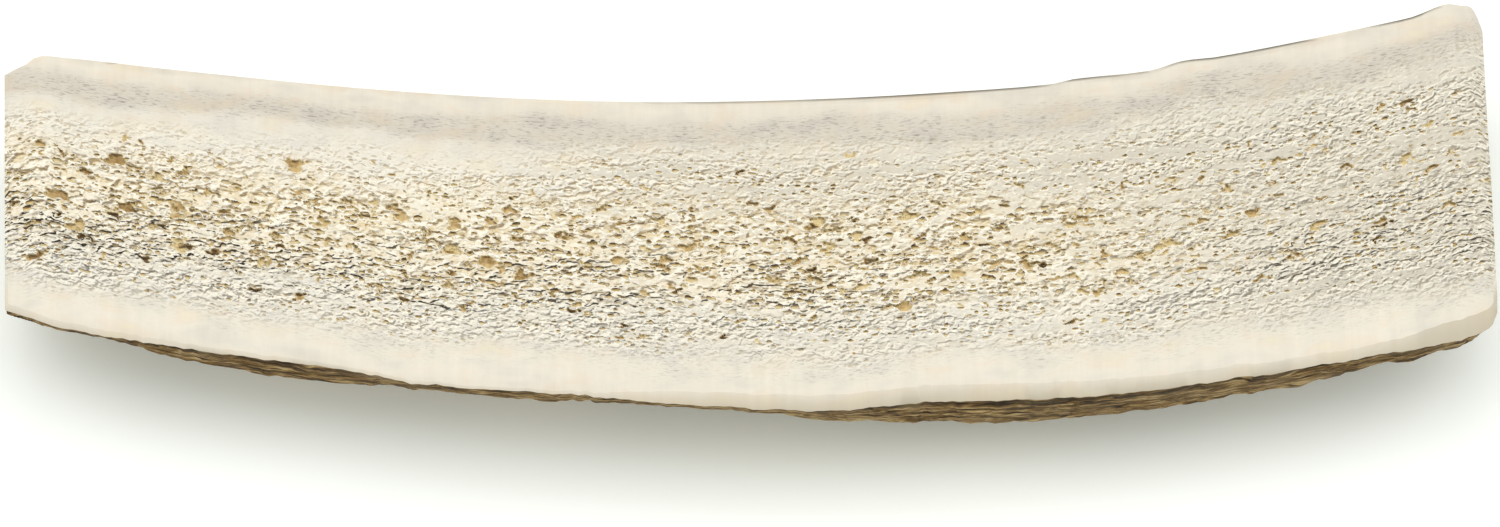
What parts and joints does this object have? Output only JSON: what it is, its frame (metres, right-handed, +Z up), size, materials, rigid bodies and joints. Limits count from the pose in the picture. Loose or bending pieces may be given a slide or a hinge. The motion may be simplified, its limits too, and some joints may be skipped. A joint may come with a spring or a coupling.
{
  "type": "split elk antler dog chew",
  "caption": "Curved half of a sawn length of antler with a flat sawn face, a porous spongy core and a ridged brown bark back.",
  "frame": {"origin": "bottom centre of the piece's box, on the surface that it lies on", "axes": "+X along the antler, +Y towards the far edge of the sawn face, +Z up out of the sawn face"},
  "size_m": [0.1792, 0.0534, 0.018],
  "materials": {
    "antler": "cream sawn bone with a tan spongy core, and rough grey-brown bark on the back"
  },
  "bodies": {
    "root": {"split_antler": "antler"}
  },
  "joints": []
}
